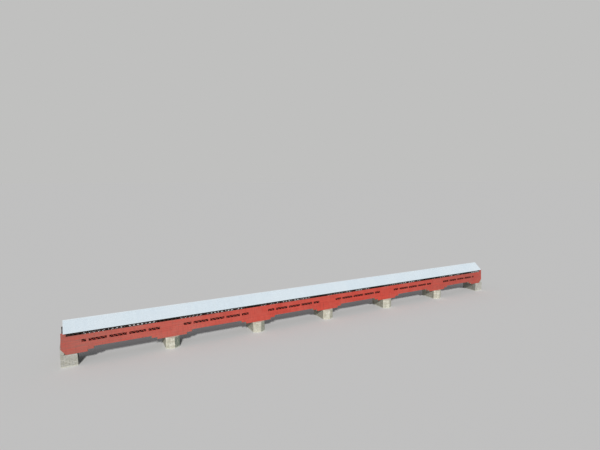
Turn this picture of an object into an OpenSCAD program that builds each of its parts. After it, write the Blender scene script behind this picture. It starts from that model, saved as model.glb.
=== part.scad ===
// Covered timber bridge of six spans, a scale model at 1:10.
// One millimetre of the model stands for ten millimetres of the real bridge.
// X runs along the bridge, Y across it, and Z up. The near side is at -Y.
// The origin is midway along the bridge, at the foot of the piers.

/* [Spans] */
// Roof end to the middle of pier 1
span_1 = 2626; // [2400:2:2800]
// Pier 1 to pier 2, middle to middle
span_2 = 2578; // [2400:2:2800]
// Pier 2 to pier 3
span_3 = 2484; // [2400:2:2800]
// Pier 3 to pier 4
span_4 = 2524; // [2400:2:2800]
// Pier 4 to pier 5
span_5 = 2496; // [2400:2:2800]
// Middle of pier 5 to the roof end
span_6 = 2462; // [2400:2:2800]

/* [Piers and abutments] */
// Height of the piers and of the abutment seats
pier_h = 311; // [250:1:500]
// Width of a pier along the bridge, at its top
pier_w = 364; // [300:2:420]
// Half the length of a pier across the bridge, up to its shoulders
pier_half_l = 305; // [290:1:360]
// Length of the tapered nose at each end of a pier
pier_nose = 83; // [50:1:120]
// Width of the blunt front of a nose
pier_front_w = 74; // [30:2:120]
// How far each face of a pier or abutment stands out at its foot
batter = 8; // [0:1:20]
// Length of the abutment seat inside the roof end
seat_l = 290; // [200:1:360]
// Half the width of an abutment
abutment_half_w = 312; // [300:1:380]
// Thickness of the wall behind the end of the floor
backwall_t = 90; // [80:1:120]
// Play between the wall behind and what stands before it
backwall_play = 3; // [1:1:10]

/* [Trusses] */
// Clear width of the roadway between the trusses
road_w = 474; // [420:2:560]
// Height of a truss, from under its bottom chord to the top of its top chord
truss_h = 427; // [380:1:480]
// Thickness of a lattice plank
lattice_t = 7.5; // [5:0.5:12]
// Width of a lattice plank
lattice_w = 22; // [16:1:30]
// Distance between lattice planks that lean the same way, about
lattice_pitch = 105; // [90:1:140]
// Number of lattice bays that a plank crosses on its way up
lattice_run = 4; // [3:1:5]
// Thickness of chord planks and of posts
chord_t = 12; // [8:0.5:18]
// Height of the bottom chord
bottom_chord_h = 35; // [26:1:44]
// Height of the top chord
top_chord_h = 30; // [24:1:40]
// Width of a truss post along the bridge
post_w = 20; // [14:1:28]

/* [Bolsters] */
// Height of each of the two layers of bolsters on a pier
bolster_h = 56; // [40:1:70]
// Half the length of a lower bolster
low_bolster_half = 415; // [300:1:440]
// Half the length of an upper bolster
high_bolster_half = 560; // [460:1:620]
// Distance from the roof end to the bearing on the abutment
bearing_in = 125; // [80:1:180]

/* [Floor] */
// Height of a floor beam
beam_h = 28; // [20:1:40]
// Width of a floor beam
beam_w = 18; // [12:1:24]
// Number of floor beams between two truss posts
beams_a_bay = 3; // [2:1:5]
// Bearing of a floor beam on the inner chord
beam_bearing = 10; // [6:0.5:12]
// Height of a stringer
stringer_h = 14; // [10:1:20]
// Width of a stringer
stringer_w = 10; // [6:1:14]
// Number of stringers
stringer_count = 5; // [3:1:7]
// Thickness of the floor planks
deck_t = 8; // [5:0.5:12]
// Play between the floor and each truss
deck_play = 3; // [1:0.5:6]

/* [Roof] */
// Slope of the roof in degrees
roof_pitch = 39.2; // [32:0.1:44]
// How far the eaves stand out from the wall
eave_out = 40; // [20:1:60]
// How far the roof stands out over each portal
verge_out = 12; // [6:1:24]
// Thickness of the roof boards and metal sheets together
roof_t = 4; // [3:0.5:8]
// Depth of a rafter
rafter_d = 12; // [8:1:18]
// Width of a rafter
rafter_w = 6; // [4:0.5:9]
// Distance between rafters, about
rafter_pitch = 126; // [100:1:200]
// Thickness of the ridge board
ridge_board_t = 4; // [3:0.5:6]
// Depth of the ridge board
ridge_board_d = 22; // [16:1:30]
// Width of each leg of the metal ridge cap
ridge_cap_w = 24; // [14:1:36]
// Thickness of the ridge cap
ridge_cap_t = 1.5; // [1:0.1:3]
// Height of a tie beam
tie_h = 18; // [12:1:24]
// Width of a tie beam
tie_w = 16; // [10:1:20]
// Height of the wall plate at its outer edge
plate_h = 13; // [8:1:18]
// Width of the wall plate
plate_w = 26; // [18:1:34]
// Reach of a knee brace along its post and its tie beam
knee_reach = 60; // [40:1:80]
// Thickness of a knee brace
knee_t = 9; // [6:0.5:12]
// Thickness of the crossed braces that lie flat, over and under the roadway
brace_t = 8; // [5:0.5:12]
// Width of a crossed brace
brace_w = 16; // [10:1:24]

/* [Walls] */
// Thickness of the siding boards
siding_t = 2.5; // [2:0.5:5]
// Thickness of the studs that carry the siding
stud_t = 5.5; // [3:0.5:8]
// Width of a stud along the bridge
stud_w = 10; // [6:1:14]
// Height of the siding above the underside of the trusses
siding_h = 354; // [330:1:372]
// Height of the window sills above the underside of the trusses
sill_h = 158; // [120:1:200]
// Height of the window slots
window_h = 68; // [30:1:80]
// Width of the panel between two windows
window_post_w = 60; // [30:1:90]
// Width of the first and the last window of a span between two piers
short_window_w = 215; // [150:1:280]
// Width of the window nearest to a roof end
end_window_w = 100; // [60:1:280]
// Width of the last window before the first pier, in a span at a roof end
inner_window_w = 300; // [150:1:380]
// Distance from the middle of a pier to the nearest window
window_margin = 320; // [240:1:380]
// Distance from the roof end to the nearest window
end_window_margin = 400; // [340:1:480]
// How far the bolsters stand out past the ends of the aprons
bolster_show = 18; // [2:1:40]
// How far the siding stands out past the roof end, at its top
wing_top = 55; // [5:1:60]
// How far the siding stands out past the roof end, at its widest
wing_out = 75; // [40:1:100]
// Height of the widest point of the wing above the underside of the trusses
wing_h = 40; // [20:1:80]
// How far the wing's foot lies inside the roof end
wing_foot_in = 40; // [20:1:90]
// How far the siding reaches up to the eaves, inside the roof end
eave_panel_in = 60; // [20:1:120]

/* [Portals] */
// Thickness of the portal boards
portal_t = 3; // [2:0.5:5]
// Height of the portal opening above the floor
opening_h = 326; // [280:1:334]
// Size of the cut corners at the top of the opening
opening_cut = 52; // [20:1:80]

/* [Hidden] */

// Side names: the near side is at -Y and the far side at +Y
NEAR = -1;
FAR = 1;
// A length that stands for the thin slices between which a battered mass is drawn
slice = 1;

// Lengths along the bridge
spans = [span_1, span_2, span_3, span_4, span_5, span_6];
function sum_to(list, n) = n == 0 ? 0 : list[n - 1] + sum_to(list, n - 1);
roof_l = sum_to(spans, len(spans));
roof_end = roof_l / 2;
truss_end = roof_end - verge_out;
pier_count = len(spans) - 1;
pier_xs = [for (i = [1:pier_count]) sum_to(spans, i) - roof_end];
bearing_xs = concat([bearing_in - roof_end], pier_xs, [roof_end - bearing_in]);

// Distances from the middle line of the bridge, outwards through one truss
chord_in = road_w / 2;
web_in = chord_in + chord_t;
web_out = web_in + 2 * lattice_t;
truss_out = web_out + chord_t;
siding_in = truss_out + stud_t;
siding_out = siding_in + siding_t;
eave_y = siding_out + eave_out;

// Levels, upwards
step_z = pier_h + bolster_h;
truss_z = step_z + bolster_h;
beam_z = truss_z + bottom_chord_h;
stringer_z = beam_z + beam_h;
deck_z = stringer_z + stringer_h;
road_z = deck_z + deck_t;
truss_top = truss_z + truss_h;
top_chord_z = truss_top - top_chord_h;
plate_z = truss_top + tie_h;
sill_z = truss_z + sill_h;
head_z = sill_z + window_h;
siding_top = truss_z + siding_h;

// Heights of the roof's surfaces at a distance y from the middle line
rafter_seat_z = plate_z + plate_h;
function rafter_under(y) = rafter_seat_z + (truss_out - y) * tan(roof_pitch);
function rafter_top(y) = rafter_under(y) + rafter_d / cos(roof_pitch);
function roof_top(y) = rafter_top(y) + roof_t / cos(roof_pitch);

// Windows: five to a span, three long ones between two short ones
long_windows = 3;
window_count = long_windows + 2;
function slot_start(i) = i == 0 ? end_window_margin - roof_end : pier_xs[i - 1] + window_margin;
function slot_end(i) = i == pier_count ? roof_end - end_window_margin : pier_xs[i] - window_margin;
function slot_l(i) = slot_end(i) - slot_start(i);
function first_w(i) = i == 0 ? end_window_w : i == pier_count ? inner_window_w : short_window_w;
function last_w(i) = first_w(pier_count - i);
function long_w(i) = (slot_l(i) - first_w(i) - last_w(i) - (window_count - 1) * window_post_w) / long_windows;
function window_w(i, k) = k == 0 ? first_w(i) : k == window_count - 1 ? last_w(i) : long_w(i);
function window_start(i, k) = k == 0 ? slot_start(i)
    : window_start(i, k - 1) + window_w(i, k - 1) + window_post_w;
function window_end(i, k) = window_start(i, k) + window_w(i, k);

// Frames: a truss post, a tie beam and knee braces at each end, pier and window panel
function panel_middles(i) = [for (k = [1:window_count - 1]) window_start(i, k) - window_post_w / 2];
frame_xs = concat([post_w / 2 - truss_end], panel_middles(0),
    [for (i = [1:pier_count]) for (x = concat([pier_xs[i - 1]], panel_middles(i))) x],
    [truss_end - post_w / 2]);
frame_count = len(frame_xs);

// Lattice planks, by the place where each one passes the middle of the truss
part_count = 3;
bays_a_part = round(2 * truss_end / lattice_pitch / part_count);
lattice_bay = 2 * truss_end / (bays_a_part * part_count);
lattice_lean = lattice_run * lattice_bay / 2;
plank_half_w = lattice_w / 2 / cos(atan(2 * lattice_lean / truss_h));

// Half the length of the aprons over the lower and the upper bolsters
apron_low = low_bolster_half - bolster_show;
apron_high = high_bolster_half - bolster_show;

// Siding outline: the wing past the roof end at a given height
wing_z = truss_z + wing_h;
wing_points = [[pier_h, -wing_foot_in], [wing_z, wing_out], [siding_top, wing_top]];
function wing(z) = lookup(z, wing_points);

// A block between two corners
module block(low, high) {
    translate(low)
        cube(high - low);
}

// A shape drawn across the bridge, as [y, z], and run along it from x0 to x1
module along(x0, x1) {
    translate([x0, 0, 0])
        rotate([90, 0, 90])
            linear_extrude(x1 - x0)
                children();
}

// A shape drawn along the bridge, as [x, z], and given a thickness from y0 to y1
module upright(y0, y1) {
    translate([0, y1, 0])
        rotate([90, 0, 0])
            linear_extrude(y1 - y0)
                children();
}

// The same thing on either side of the bridge
module on_side(side) {
    if (side == FAR) children();
    else mirror([0, 1, 0]) children();
}

module both_sides() {
    for (side = [NEAR, FAR])
        on_side(side) children();
}

module pier_plan(grow) {
    half_w = pier_w / 2 + grow;
    half_l = pier_half_l + grow;
    half_front = pier_front_w / 2 + grow;
    tip = half_l + pier_nose;
    polygon([[-half_w, -half_l], [-half_front, -tip], [half_front, -tip], [half_w, -half_l],
        [half_w, half_l], [half_front, tip], [-half_front, tip], [-half_w, half_l]]);
}

// Solid masonry pier with a blunt tapered nose upstream and downstream
module pier(i) {
    color("#cdc8b2")
        translate([pier_xs[i], 0, 0])
            hull() {
                linear_extrude(slice) pier_plan(batter);
                translate([0, 0, pier_h - slice])
                    linear_extrude(slice) pier_plan(0);
            }
}

// Seat for the end of the trusses, with a wall behind it up to the road
module abutment(side) {
    back = roof_end + backwall_t;
    front = roof_end - seat_l;
    color("#c4c0b0")
        mirror([side < 0 ? 1 : 0, 0, 0]) {
            upright(-abutment_half_w, abutment_half_w)
                polygon([[front - batter, 0], [back, 0], [back, pier_h], [front, pier_h]]);
            block([truss_end + portal_t + backwall_play, backwall_play - siding_in, pier_h],
                [back, siding_in - backwall_play, road_z]);
        }
}

// One layer of bolsters: a timber under each truss at each bearing
module bolster_layer(z, half) {
    color("#7a5a44")
        for (x = bearing_xs)
            both_sides()
                block([max(x - half, -truss_end), chord_in, z],
                    [min(x + half, truss_end), truss_out, z + bolster_h]);
}

// Inner and outer planks of a chord, on both trusses
module chords(z, h) {
    color("#8a6a50")
        both_sides()
            for (y = [chord_in, web_out])
                block([-truss_end, y, z], [truss_end, y + chord_t, z + h]);
}

module truss_posts() {
    color("#8a6a50")
        for (x = frame_xs)
            both_sides()
                for (y = [chord_in, web_out])
                    block([x - post_w / 2, y, beam_z], [x + post_w / 2, y + chord_t, top_chord_z]);
}

// One lattice plank that leans to the right (1) or to the left (-1), cut off at the truss ends
module lattice_plank(x, lean) {
    foot = x - lean * lattice_lean;
    head = x + lean * lattice_lean;
    intersection() {
        polygon([[foot - plank_half_w, truss_z], [foot + plank_half_w, truss_z],
            [head + plank_half_w, truss_top], [head - plank_half_w, truss_top]]);
        if (abs(x) + lattice_lean + plank_half_w > truss_end)
            translate([-truss_end, truss_z])
                square([2 * truss_end, truss_h]);
    }
}

// A third of a truss's web: one layer of planks leans each way, and they meet face to face
module lattice(side, part) {
    first = part * bays_a_part;
    color("#9a5a48")
        on_side(side)
            for (i = [first:first + bays_a_part - 1]) {
                x = (i + 0.5) * lattice_bay - truss_end;
                upright(web_in, web_in + lattice_t) lattice_plank(x, 1);
                upright(web_in + lattice_t, web_out) lattice_plank(x, -1);
            }
}

module floor_beams() {
    half_l = chord_in + beam_bearing;
    color("#7a5a44")
        for (i = [0:frame_count - 2])
            for (k = [0:beams_a_bay - 1]) {
                share = (k + 0.5) / beams_a_bay;
                x = frame_xs[i] + share * (frame_xs[i + 1] - frame_xs[i]);
                block([x - beam_w / 2, -half_l, beam_z], [x + beam_w / 2, half_l, stringer_z]);
            }
}

module stringers() {
    outer = chord_in - deck_play - stringer_w / 2;
    color("#7a5a44")
        for (i = [0:stringer_count - 1]) {
            y = outer * (2 * i / (stringer_count - 1) - 1);
            block([-truss_end, y - stringer_w / 2, stringer_z], [truss_end, y + stringer_w / 2, deck_z]);
        }
}

module floor_planks() {
    half_w = chord_in - deck_play;
    color("#9b8468")
        block([-truss_end, -half_w, deck_z], [truss_end, half_w, road_z]);
}

module tie_beams() {
    color("#8a6a50")
        for (x = frame_xs)
            block([x - tie_w / 2, -truss_out, truss_top], [x + tie_w / 2, truss_out, plate_z]);
}

// Braces from the inner posts up to the tie beams
module knee_braces() {
    leg = knee_t * sqrt(2);
    color("#8a6a50")
        for (x = frame_xs)
            both_sides()
                along(x - tie_w / 2, x + tie_w / 2)
                    polygon([[chord_in, top_chord_z - knee_reach], [chord_in, top_chord_z - knee_reach + leg],
                        [chord_in - knee_reach - top_chord_h + leg, truss_top],
                        [chord_in - knee_reach - top_chord_h, truss_top]]);
}

// Plates on the tie beams, with their tops cut to the slope of the rafters
module wall_plates() {
    color("#8a6a50")
        both_sides()
            along(-truss_end, truss_end)
                polygon([[truss_out, plate_z], [truss_out, rafter_seat_z],
                    [truss_out - plate_w, rafter_under(truss_out - plate_w)], [truss_out - plate_w, plate_z]]);
}

module rafters() {
    bays = round((2 * truss_end - rafter_w) / rafter_pitch);
    foot = eave_y - roof_t;
    color("#8a6a50")
        for (i = [0:bays]) {
            x = (i / bays) * (2 * truss_end - rafter_w) - truss_end;
            both_sides()
                along(x, x + rafter_w)
                    polygon([[ridge_board_t / 2, rafter_under(ridge_board_t / 2)],
                        [ridge_board_t / 2, rafter_top(ridge_board_t / 2)],
                        [foot, rafter_top(foot)], [foot, rafter_under(foot)]]);
        }
}

module ridge_board() {
    top = rafter_top(ridge_board_t / 2);
    color("#8a6a50")
        block([-truss_end, -ridge_board_t / 2, top - ridge_board_d], [truss_end, ridge_board_t / 2, top]);
}

// One slope of the roof: boards with metal sheets on them
module roof_slope(side) {
    color("#e4eaee")
        on_side(side)
            along(-roof_end, roof_end)
                polygon([[0, rafter_top(0)], [0, roof_top(0)], [eave_y, roof_top(eave_y)],
                    [eave_y, rafter_top(eave_y)]]);
}

module ridge_cap() {
    rise = ridge_cap_t / cos(roof_pitch);
    color("#dfe6ea")
        along(-roof_end, roof_end)
            polygon([[0, roof_top(0)], [ridge_cap_w, roof_top(ridge_cap_w)],
                [ridge_cap_w, roof_top(ridge_cap_w) + rise], [0, roof_top(0) + rise],
                [-ridge_cap_w, roof_top(ridge_cap_w) + rise], [-ridge_cap_w, roof_top(ridge_cap_w)]]);
}

// A pair of crossed braces between each two neighbouring frames, laid flat
module crossed_braces(z, half_l, frame_w) {
    color("#8a6a50")
        for (i = [0:frame_count - 2]) {
            x0 = frame_xs[i] + frame_w / 2;
            x1 = frame_xs[i + 1] - frame_w / 2;
            middle = (x0 + x1) / 2;
            long = norm([x1 - x0, 2 * half_l]);
            translate([middle, 0, z])
                linear_extrude(brace_t)
                    intersection() {
                        square([x1 - x0, 2 * half_l], center = true);
                        for (lean = [-1, 1])
                            rotate(lean * atan(2 * half_l / (x1 - x0)))
                                square([long + brace_w, brace_w], center = true);
                    }
        }
}

// One stud on the outside of each truss, centred at x
module stud(x, z0, z1) {
    both_sides()
        block([x - stud_w / 2, truss_out, z0], [x + stud_w / 2, siding_in, z1]);
}

// Studs that carry the siding: whole ones at the frames, and short ones over and under
// the windows between them, and on the bolsters behind the aprons
module wall_studs() {
    edge = stud_w / 2;
    color("#8a6a50") {
        for (x = frame_xs) {
            inside = max(edge - truss_end, min(truss_end - edge, x));
            stud(inside, truss_z, siding_top);
        }
        for (i = [0:frame_count - 2]) {
            x = (frame_xs[i] + frame_xs[i + 1]) / 2;
            stud(x, truss_z, sill_z);
            stud(x, head_z, siding_top);
        }
        for (x = bearing_xs)
            for (dx = [edge - apron_low, apron_low - edge])
                if (abs(x + dx) < truss_end)
                    stud(x + dx, pier_h, truss_z);
        for (x = bearing_xs)
            for (dx = [edge - apron_high, apron_high - edge])
                if (abs(x + dx) < truss_end)
                    stud(x + dx, step_z, truss_z);
    }
}

module siding() {
    color("#c0463a") upright(siding_in, siding_out) children();
}

// A band of siding from end to end, which follows the wings
module wall_band(side, z0, z1) {
    points = [z0, if (z0 < wing_z && wing_z < z1) wing_z, z1];
    right = [for (z = points) [roof_end + wing(z), z]];
    left = [for (i = [len(points) - 1:-1:0]) [-roof_end - wing(points[i]), points[i]]];
    on_side(side)
        siding() polygon(concat(right, left));
}

// Panels of siding left standing between the windows, over the piers and at the ends
module window_panels(side) {
    on_side(side)
        siding() {
            for (i = [0:pier_count])
                for (k = [1:window_count - 1])
                    translate([window_end(i, k - 1), sill_z]) square([window_post_w, window_h]);
            for (i = [0:pier_count - 1])
                translate([slot_end(i), sill_z]) square([slot_start(i + 1) - slot_end(i), window_h]);
            for (end = [1, -1])
                polygon([[end * slot_end(pier_count), sill_z], [end * (roof_end + wing(sill_z)), sill_z],
                    [end * (roof_end + wing(head_z)), head_z], [end * slot_end(pier_count), head_z]]);
        }
}

// One step of the aprons that hide the bolsters, at each pier and at both ends
module apron_step(side, z0, z1, half) {
    on_side(side)
        siding() {
            for (x = pier_xs)
                translate([x - half, z0]) square([2 * half, z1 - z0]);
            for (end = [1, -1]) {
                inner = roof_end - bearing_in - half;
                polygon([[end * inner, z0], [end * (roof_end + wing(z0)), z0],
                    [end * (roof_end + wing(z1)), z1], [end * inner, z1]]);
            }
        }
}

// Siding that closes the gap under the eaves at the four corners
module eave_end_panels() {
    color("#c0463a")
        for (end = [1, -1])
            mirror([end < 0 ? 1 : 0, 0, 0])
                both_sides()
                    along(roof_end - eave_panel_in, roof_end + wing_top)
                        polygon([[siding_in, siding_top], [siding_out, siding_top],
                            [siding_out, rafter_under(siding_out)], [siding_in, rafter_under(siding_in)]]);
}

// Boards over the ends of the trusses, beside each portal opening
module portal_jambs() {
    color("#c0463a")
        for (x = [-truss_end - portal_t, truss_end])
            both_sides()
                block([x, chord_in, truss_z], [x + portal_t, siding_in, road_z + opening_h - opening_cut]);
}

// Boarded gable over each portal opening, with cut corners
module gables() {
    head = road_z + opening_h;
    spring = head - opening_cut;
    color("#c0463a")
        for (x = [-truss_end - portal_t, truss_end])
            along(x, x + portal_t)
                polygon([[-siding_in, spring], [-chord_in, spring], [opening_cut - chord_in, head],
                    [chord_in - opening_cut, head], [chord_in, spring], [siding_in, spring],
                    [siding_in, rafter_top(siding_in)], [0, rafter_top(0)], [-siding_in, rafter_top(siding_in)]]);
}

abutment(-1);  // left_abutment
abutment(1);  // right_abutment
pier(0);  // pier_1
pier(1);  // pier_2
pier(2);  // pier_3
pier(3);  // pier_4
pier(4);  // pier_5
bolster_layer(pier_h, low_bolster_half);  // lower_bolsters
bolster_layer(step_z, high_bolster_half);  // upper_bolsters
chords(truss_z, bottom_chord_h);  // bottom_chords
chords(top_chord_z, top_chord_h);  // top_chords
truss_posts();
lattice(NEAR, 0);  // near_lattice_left
lattice(NEAR, 1);  // near_lattice_middle
lattice(NEAR, 2);  // near_lattice_right
lattice(FAR, 0);  // far_lattice_left
lattice(FAR, 1);  // far_lattice_middle
lattice(FAR, 2);  // far_lattice_right
floor_beams();
stringers();
floor_planks();
crossed_braces(truss_z, chord_in, post_w);  // lower_braces
crossed_braces(truss_top, truss_out, tie_w);  // upper_braces
tie_beams();
knee_braces();
wall_plates();
rafters();
ridge_board();
roof_slope(NEAR);  // near_roof
roof_slope(FAR);  // far_roof
ridge_cap();
wall_studs();
wall_band(NEAR, truss_z, sill_z);  // near_wall_lower
window_panels(NEAR);  // near_wall_window_panels
wall_band(NEAR, head_z, siding_top);  // near_wall_upper
apron_step(NEAR, step_z, truss_z, apron_high);  // near_wall_aprons
apron_step(NEAR, pier_h, step_z, apron_low);  // near_wall_apron_feet
wall_band(FAR, truss_z, sill_z);  // far_wall_lower
window_panels(FAR);  // far_wall_window_panels
wall_band(FAR, head_z, siding_top);  // far_wall_upper
apron_step(FAR, step_z, truss_z, apron_high);  // far_wall_aprons
apron_step(FAR, pier_h, step_z, apron_low);  // far_wall_apron_feet
eave_end_panels();
portal_jambs();
gables();
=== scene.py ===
# %% [markdown]
# # Dressing a covered timber bridge
# The bridge is a lattice truss of six spans on stone piers, boarded in weathered red and
# covered by one long pale metal roof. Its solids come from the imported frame, at a scale of
# 1:10. This lesson keeps the timbers of the frame and gives them wood, and it rebuilds what
# has finer parts in life: the stones, the wall boards, the roof sheets and the floor planks.
# It also adds the pegs that hold the lattice together.

# %% Load the frame
import math
import random

import bmesh
import bpy
from mathutils import Matrix, Vector, noise


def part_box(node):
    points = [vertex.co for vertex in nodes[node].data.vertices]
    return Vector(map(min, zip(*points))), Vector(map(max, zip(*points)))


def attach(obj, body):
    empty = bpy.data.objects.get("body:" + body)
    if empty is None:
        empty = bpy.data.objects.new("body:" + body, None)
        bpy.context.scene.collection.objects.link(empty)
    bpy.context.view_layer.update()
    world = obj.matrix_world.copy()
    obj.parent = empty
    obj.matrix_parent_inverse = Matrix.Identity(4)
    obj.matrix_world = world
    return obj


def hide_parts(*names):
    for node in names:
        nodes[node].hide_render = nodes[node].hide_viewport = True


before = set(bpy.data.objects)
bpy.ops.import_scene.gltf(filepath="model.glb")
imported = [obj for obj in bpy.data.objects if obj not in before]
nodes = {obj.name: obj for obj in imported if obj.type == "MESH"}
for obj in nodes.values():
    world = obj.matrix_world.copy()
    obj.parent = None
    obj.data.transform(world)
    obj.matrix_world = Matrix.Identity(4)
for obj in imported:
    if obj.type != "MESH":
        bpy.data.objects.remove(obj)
scene = bpy.context.scene
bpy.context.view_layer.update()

# %% [markdown]
# ## Camera
# The photograph looks along the bridge from its left end, a little from above. A camera is
# fully told by where it stands, where it looks and how wide it sees. Here the turn, the tilt
# and the small roll are angles, and a matrix of three directions is made from them. That is
# plainer than a chain of rotations, because each column is a direction that can be checked.

# %% Camera
CAMERA_PLACE = Vector((-6.945, -11.7315, 4.6706))
CAMERA_TURN = math.radians(27.724)
CAMERA_DROP = math.radians(6.427)
CAMERA_ROLL = math.radians(-0.191)
FILM_WIDTH = 36
LENS = 24.687
SIGHT = 2000

ahead = Vector((math.sin(CAMERA_TURN) * math.cos(CAMERA_DROP),
                math.cos(CAMERA_TURN) * math.cos(CAMERA_DROP),
                -math.sin(CAMERA_DROP)))
level_right = Vector((math.cos(CAMERA_TURN), -math.sin(CAMERA_TURN), 0))
level_up = level_right.cross(ahead)
right = level_right * math.cos(CAMERA_ROLL) + level_up * math.sin(CAMERA_ROLL)
up = level_up * math.cos(CAMERA_ROLL) - level_right * math.sin(CAMERA_ROLL)

camera_data = bpy.data.cameras.new("photo_camera")
camera_data.sensor_width = FILM_WIDTH
camera_data.lens = LENS
camera_data.clip_end = SIGHT
camera = bpy.data.objects.new("photo_camera", camera_data)
scene.collection.objects.link(camera)
turned = Matrix((right, up, -ahead)).transposed().to_4x4()
camera.matrix_world = Matrix.Translation(CAMERA_PLACE) @ turned
scene.camera = camera
print("the camera stands at", tuple(round(c, 3) for c in camera.matrix_world.translation))

# %% [markdown]
# ## Light and stage
# A soft sun from the front left lights the noses of the piers. Its height sets how far the
# shadow of the deck reaches along their sides. The world fills the shadows evenly, as a studio
# tent does. The floor is one pale sheet. The world is seen in the colour that the lit floor
# has, so the two meet without a line.

# %% Helpers for node trees
def colour(red, green, blue):
    """A colour as a picture editor gives it, 0 to 255, made linear for Blender."""
    shares = [value / 255 for value in (red, green, blue)]
    linear = [s / 12.92 if s < 0.04045 else ((s + 0.055) / 1.055) ** 2.4 for s in shares]
    return (*linear, 1.0)


def feed(tree, socket, source):
    """Links a socket to another one, or sets its value."""
    if isinstance(source, bpy.types.NodeSocket):
        tree.links.new(source, socket)
    else:
        socket.default_value = source


def add_node(tree, kind, inputs=(), **settings):
    """One node with its settings, and with its inputs by number or name."""
    made = tree.nodes.new(kind)
    for name, value in settings.items():
        setattr(made, name, value)
    for name, source in dict(inputs).items():
        feed(tree, made.inputs[name], source)
    return made


print("grey 128 of a picture editor is", round(colour(128, 128, 128)[0], 3), "in linear light")

# %% Sun, world and floor
SUN_FROM = Vector((-0.40, -1.0, 0.66))
SUN_POWER = 2.93
SUN_WIDTH = math.radians(6)
FILL_COLOUR = colour(246, 249, 255)
FILL_STRENGTH = 0.26
FLOOR_COLOUR = colour(221, 220, 218)
FLOOR_HALF = 600
BACKDROP_COLOUR = colour(192, 192, 191)

sun_data = bpy.data.lights.new("soft_sun", "SUN")
sun_data.energy = SUN_POWER
sun_data.angle = SUN_WIDTH
sun = bpy.data.objects.new("soft_sun", sun_data)
scene.collection.objects.link(sun)
sun.rotation_euler = SUN_FROM.to_track_quat("Z", "Y").to_euler()

world = bpy.data.worlds.new("studio")
world.use_nodes = True
scene.world = world
tree = world.node_tree
fill = tree.nodes["Background"]
fill.inputs["Color"].default_value = FILL_COLOUR
fill.inputs["Strength"].default_value = FILL_STRENGTH
seen = add_node(tree, "ShaderNodeBackground", {"Color": BACKDROP_COLOUR, "Strength": 1.0})
path = add_node(tree, "ShaderNodeLightPath")
direct = add_node(tree, "ShaderNodeMath", {0: path.outputs["Is Camera Ray"],
                                           1: path.outputs["Is Glossy Ray"]}, operation="MAXIMUM")
through = add_node(tree, "ShaderNodeMath", {0: direct.outputs[0],
                                            1: path.outputs["Is Transmission Ray"]},
                   operation="MAXIMUM")
either = add_node(tree, "ShaderNodeMixShader", {0: through.outputs[0], 1: fill.outputs[0],
                                                2: seen.outputs[0]})
tree.links.new(either.outputs[0], tree.nodes["World Output"].inputs["Surface"])

floor_mesh = bpy.data.meshes.new("studio_floor")
bm = bmesh.new()
bmesh.ops.create_grid(bm, x_segments=1, y_segments=1, size=FLOOR_HALF)
bm.to_mesh(floor_mesh)
bm.free()
floor = bpy.data.objects.new("studio_floor", floor_mesh)
scene.collection.objects.link(floor)
floor_paint = bpy.data.materials.new("studio_floor_paint")
floor_paint.use_nodes = True
floor_shader = floor_paint.node_tree.nodes["Principled BSDF"]
floor_shader.inputs["Base Color"].default_value = FLOOR_COLOUR
floor_shader.inputs["Roughness"].default_value = 0.95
floor_shader.inputs["Specular IOR Level"].default_value = 0.0
floor_mesh.materials.append(floor_paint)
scene.view_settings.view_transform = "Standard"
print("the sun stands", round(math.degrees(math.asin(SUN_FROM.normalized().z))), "degrees high")

# %% [markdown]
# ## Effects that several materials share
# Wood grain, faded patches, rain runs, the aged colour and dirt in the hollows are each a
# shader node group. A group is built once, its sockets are named, and each material places it
# with its own sizes. The groups put out only masks and colours, and the shader stays in the
# material.

# %% Node groups
def new_group(name, inputs, outputs):
    """An empty shader node group with named sockets, and its two end nodes."""
    group = bpy.data.node_groups.new(name, "ShaderNodeTree")
    for label, kind in inputs.items():
        group.interface.new_socket(label, in_out="INPUT", socket_type="NodeSocket" + kind)
    for label, kind in outputs.items():
        group.interface.new_socket(label, in_out="OUTPUT", socket_type="NodeSocket" + kind)
    return group, group.nodes.new("NodeGroupInput"), group.nodes.new("NodeGroupOutput")


def cells_of(tree, vector, sizes):
    """The place measured in steps of the three given sizes."""
    lengths = add_node(tree, "ShaderNodeCombineXYZ", dict(enumerate(sizes)))
    return add_node(tree, "ShaderNodeVectorMath", {0: vector, 1: lengths.outputs[0]},
                    operation="DIVIDE").outputs[0]


def rescaled(tree, value, low, high, new_low=0.0, new_high=1.0):
    """A value moved from one range to another, and held inside it."""
    numbers = {"Value": value, "From Min": low, "From Max": high,
               "To Min": new_low, "To Max": new_high}
    return add_node(tree, "ShaderNodeMapRange", numbers).outputs[0]


def product(tree, first, second):
    """One mask times another, or times a number."""
    return add_node(tree, "ShaderNodeMath", {0: first, 1: second},
                    operation="MULTIPLY").outputs[0]


grain_group, start, end = new_group("wood_grain", {"Vector": "Vector", "Length": "Float",
                                                   "Width": "Float"}, {"Grain": "Float"})
place = cells_of(grain_group, start.outputs["Vector"],
                 (start.outputs["Length"], start.outputs["Width"], start.outputs["Width"]))
fibres = add_node(grain_group, "ShaderNodeTexNoise",
                  {"Vector": place, "Scale": 1.0, "Detail": 5.0, "Roughness": 0.62,
                   "Distortion": 0.35})
feed(grain_group, end.inputs["Grain"], rescaled(grain_group, fibres.outputs[0], 0.3, 0.7))


def mask_group(name, sizes, detail, roughness, low, high):
    """Noise in cells of the named sizes, as a mask. Its Amount sets how strong it is."""
    sockets = {"Vector": "Vector", **dict.fromkeys(sizes, "Float"), "Amount": "Float"}
    group, start, end = new_group(name, sockets, {"Mask": "Float"})
    place = cells_of(group, start.outputs["Vector"], [start.outputs[size] for size in sizes])
    clouds = add_node(group, "ShaderNodeTexNoise", {"Vector": place, "Scale": 1.0,
                                                    "Detail": detail, "Roughness": roughness})
    shape = rescaled(group, clouds.outputs[0], low, high)
    feed(group, end.inputs["Mask"], product(group, shape, start.outputs["Amount"]))
    return group


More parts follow.
